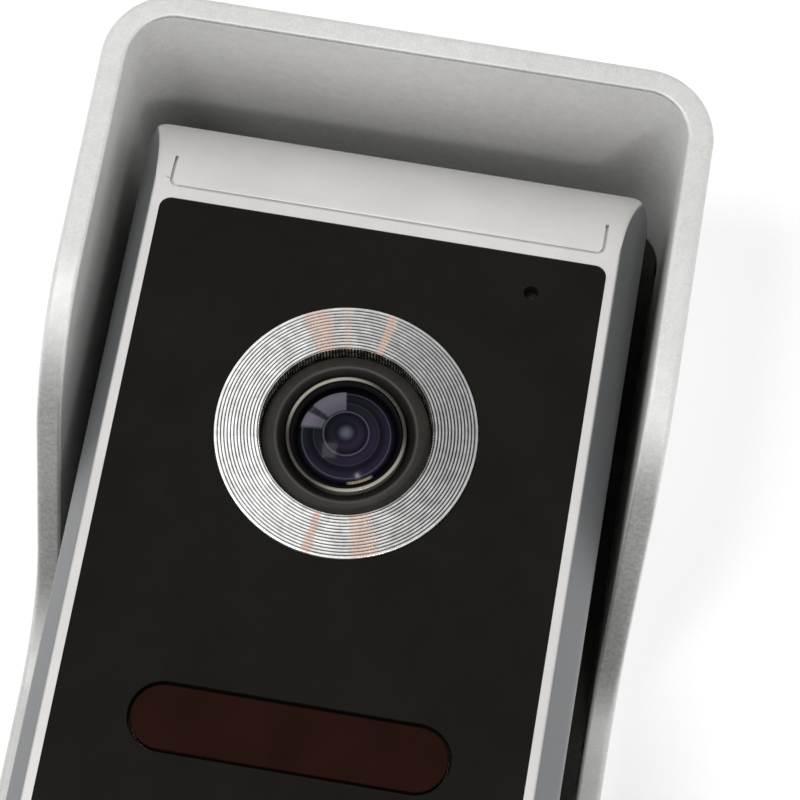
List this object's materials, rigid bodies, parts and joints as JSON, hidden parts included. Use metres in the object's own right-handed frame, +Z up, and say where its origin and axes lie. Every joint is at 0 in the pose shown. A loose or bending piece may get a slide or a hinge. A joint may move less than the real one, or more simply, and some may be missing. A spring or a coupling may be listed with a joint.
{
  "type": "door intercom panel",
  "caption": "Wall mounted door intercom station with camera, infrared window, call button and loudspeaker, hung in a deep rain hood.",
  "frame": {"origin": "on the wall plane, at the middle of the hood's height and width", "axes": "+Z up, +Y into the wall, the front looks towards -Y"},
  "size_m": [0.0722, 0.0454, 0.151],
  "materials": {
    "hood_paint": "fine textured silver powder coat",
    "bezel_paint": "satin silver paint",
    "panel_black": "black acrylic, satin gloss",
    "ring_metal": "turned with fine concentric grooves",
    "surround_black": "moulded black, fine satin",
    "barrel_black": "black anodised",
    "lens_glass": "coated optical glass",
    "baffle_black": "deep matt black",
    "ir_window_plastic": "infrared pass plastic, very dark red",
    "case_black": "fine spark texture",
    "pad_foam": "closed cell foam",
    "seal_rubber": "smooth black rubber",
    "bracket_steel": "zinc plated sheet",
    "screw_steel": "stainless",
    "insert_brass": "bright",
    "button_metal": "spun satin",
    "icon_plastic": "translucent blue",
    "light_ring_plastic": "translucent blue",
    "spring_steel": "drawn wire",
    "board_green": "solder mask",
    "chip_black": "epoxy",
    "can_metal": "drawn can",
    "relay_plastic": "smooth",
    "header_white": "smooth",
    "led_clear": "clear epoxy",
    "sensor_ceramic": "clear coated",
    "ribbon_film": "polyimide film",
    "wire_red": "insulation",
    "speaker_mesh_metal": "woven mesh, blackened",
    "speaker_steel": "zinc plated pressing",
    "speaker_film": "formed film",
    "magnet_iron": "plated",
    "sensor_glass": "glass covered",
    "tape_film": "black double-sided film"
  },
  "bodies": {
    "station": {"backing_pad": "pad_foam", "board_chips": "chip_black", "board_headers": "header_white", "bracket_screws": "screw_steel", "button_board": "board_green", "button_board_screws": "screw_steel", "button_leds": "led_clear", "button_light_ring": "light_ring_plastic", "button_spring": "spring_steel", "cable_grommet": "seal_rubber", "cable_socket": "header_white", "camera_board": "board_green", "camera_board_screws": "screw_steel", "camera_ribbon": "ribbon_film", "camera_ring": "ring_metal", "capacitors": "can_metal", "case_screws": "screw_steel", "case_seal": "seal_rubber", "front_bezel": "bezel_paint", "front_panel": "panel_black", "image_sensor": "sensor_glass", "ir_board_screws": "screw_steel", "ir_led_board": "board_green", "ir_leds": "led_clear", "ir_window": "ir_window_plastic", "lens_baffle": "baffle_black", "lens_barrel": "barrel_black", "lens_front_element": "lens_glass", "lens_holder": "surround_black", "lens_rear_element": "lens_glass", "lens_retainer": "baffle_black", "lens_surround": "surround_black", "light_sensor": "sensor_ceramic", "lock_relay": "relay_plastic", "main_board": "board_green", "main_board_screws": "screw_steel", "microphone_boot": "seal_rubber", "microphone_capsule": "can_metal", "microphone_leads": "wire_red", "mounting_bracket": "bracket_steel", "panel_adhesive": "tape_film", "rain_hood": "hood_paint", "rear_case": "case_black", "security_insert": "insert_brass", "security_screw": "screw_steel", "speaker_cone": "speaker_film", "speaker_frame": "speaker_steel", "speaker_gasket": "pad_foam", "speaker_leads": "wire_red", "speaker_magnet": "magnet_iron", "speaker_mesh": "speaker_mesh_metal", "switch_body": "chip_black", "volume_trimmer_body": "relay_plastic", "wall_seal": "seal_rubber"},
    "button": {"call_button": "button_metal", "button_icon": "icon_plastic"},
    "plunger": {"switch_plunger": "chip_black"},
    "trimmer": {"volume_trimmer_rotor": "header_white"}
  },
  "joints": [
    {"name": "button_press", "type": "slide", "parent": "station", "child": "button", "axis": [0, 1, 0], "range_m": [0, 0.0008], "stiffness_N_per_m": 400, "springref_m": -0.004, "deforming": ["button_spring"]},
    {"name": "plunger_press", "type": "slide", "parent": "station", "child": "plunger", "axis": [0, 1, 0], "range_m": [0, 0.00052]},
    {"name": "volume_turn", "type": "hinge", "parent": "station", "child": "trimmer", "pos_m": [0.012, -0.0099, 0.012], "axis": [0, 1, 0], "range_deg": [-135, 135]}
  ],
  "couplings": [
    {"joint": "plunger_press", "follows": "button_press", "ratio": 0.625}
  ]
}
